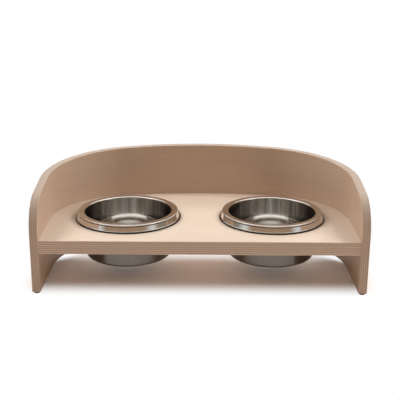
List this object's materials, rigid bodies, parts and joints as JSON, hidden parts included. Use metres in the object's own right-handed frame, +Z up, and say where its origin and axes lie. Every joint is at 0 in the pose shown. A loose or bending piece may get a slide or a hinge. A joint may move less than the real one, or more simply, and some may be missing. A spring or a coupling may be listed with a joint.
{
  "type": "elevated double pet bowl",
  "caption": "Raised feeder for a cat or small dog: a plywood shelf held inside a moulded plywood wall that curves round its back and sides, with lift-out steel bowls seated in rubber rings.",
  "frame": {"origin": "on the floor under the middle of the outline", "axes": "+X to the right along the shelf, +Y from the open front to the curved rear, +Z up"},
  "size_m": [0.48, 0.25, 0.163],
  "materials": {
    "wall_plywood": "clear matt lacquer on beech-faced moulded plywood, ply lines on the edges",
    "shelf_plywood": "clear matt lacquer on beech-faced plywood, ply lines on the front edge",
    "bowl_steel": "satin, polished inside",
    "black_rubber": "matt",
    "foot_rubber": "matt",
    "dowel_beech": "plain beech, glued"
  },
  "bodies": {
    "stand": {"curved_wall": "wall_plywood", "bowl_shelf": "shelf_plywood", "left_bowl_ring": "black_rubber", "right_bowl_ring": "black_rubber", "front_left_foot": "foot_rubber", "front_right_foot": "foot_rubber", "rear_left_foot": "foot_rubber", "rear_right_foot": "foot_rubber", "left_shelf_dowels": "dowel_beech", "right_shelf_dowels": "dowel_beech", "rear_shelf_dowels": "dowel_beech"},
    "left_bowl": {"left_bowl": "bowl_steel"},
    "right_bowl": {"right_bowl": "bowl_steel"}
  },
  "joints": [
    {"name": "left_bowl_lift", "type": "slide", "parent": "stand", "child": "left_bowl", "axis": [0, 0, 1], "range_m": [0, 0.15]},
    {"name": "right_bowl_lift", "type": "slide", "parent": "stand", "child": "right_bowl", "axis": [0, 0, 1], "range_m": [0, 0.15]}
  ]
}
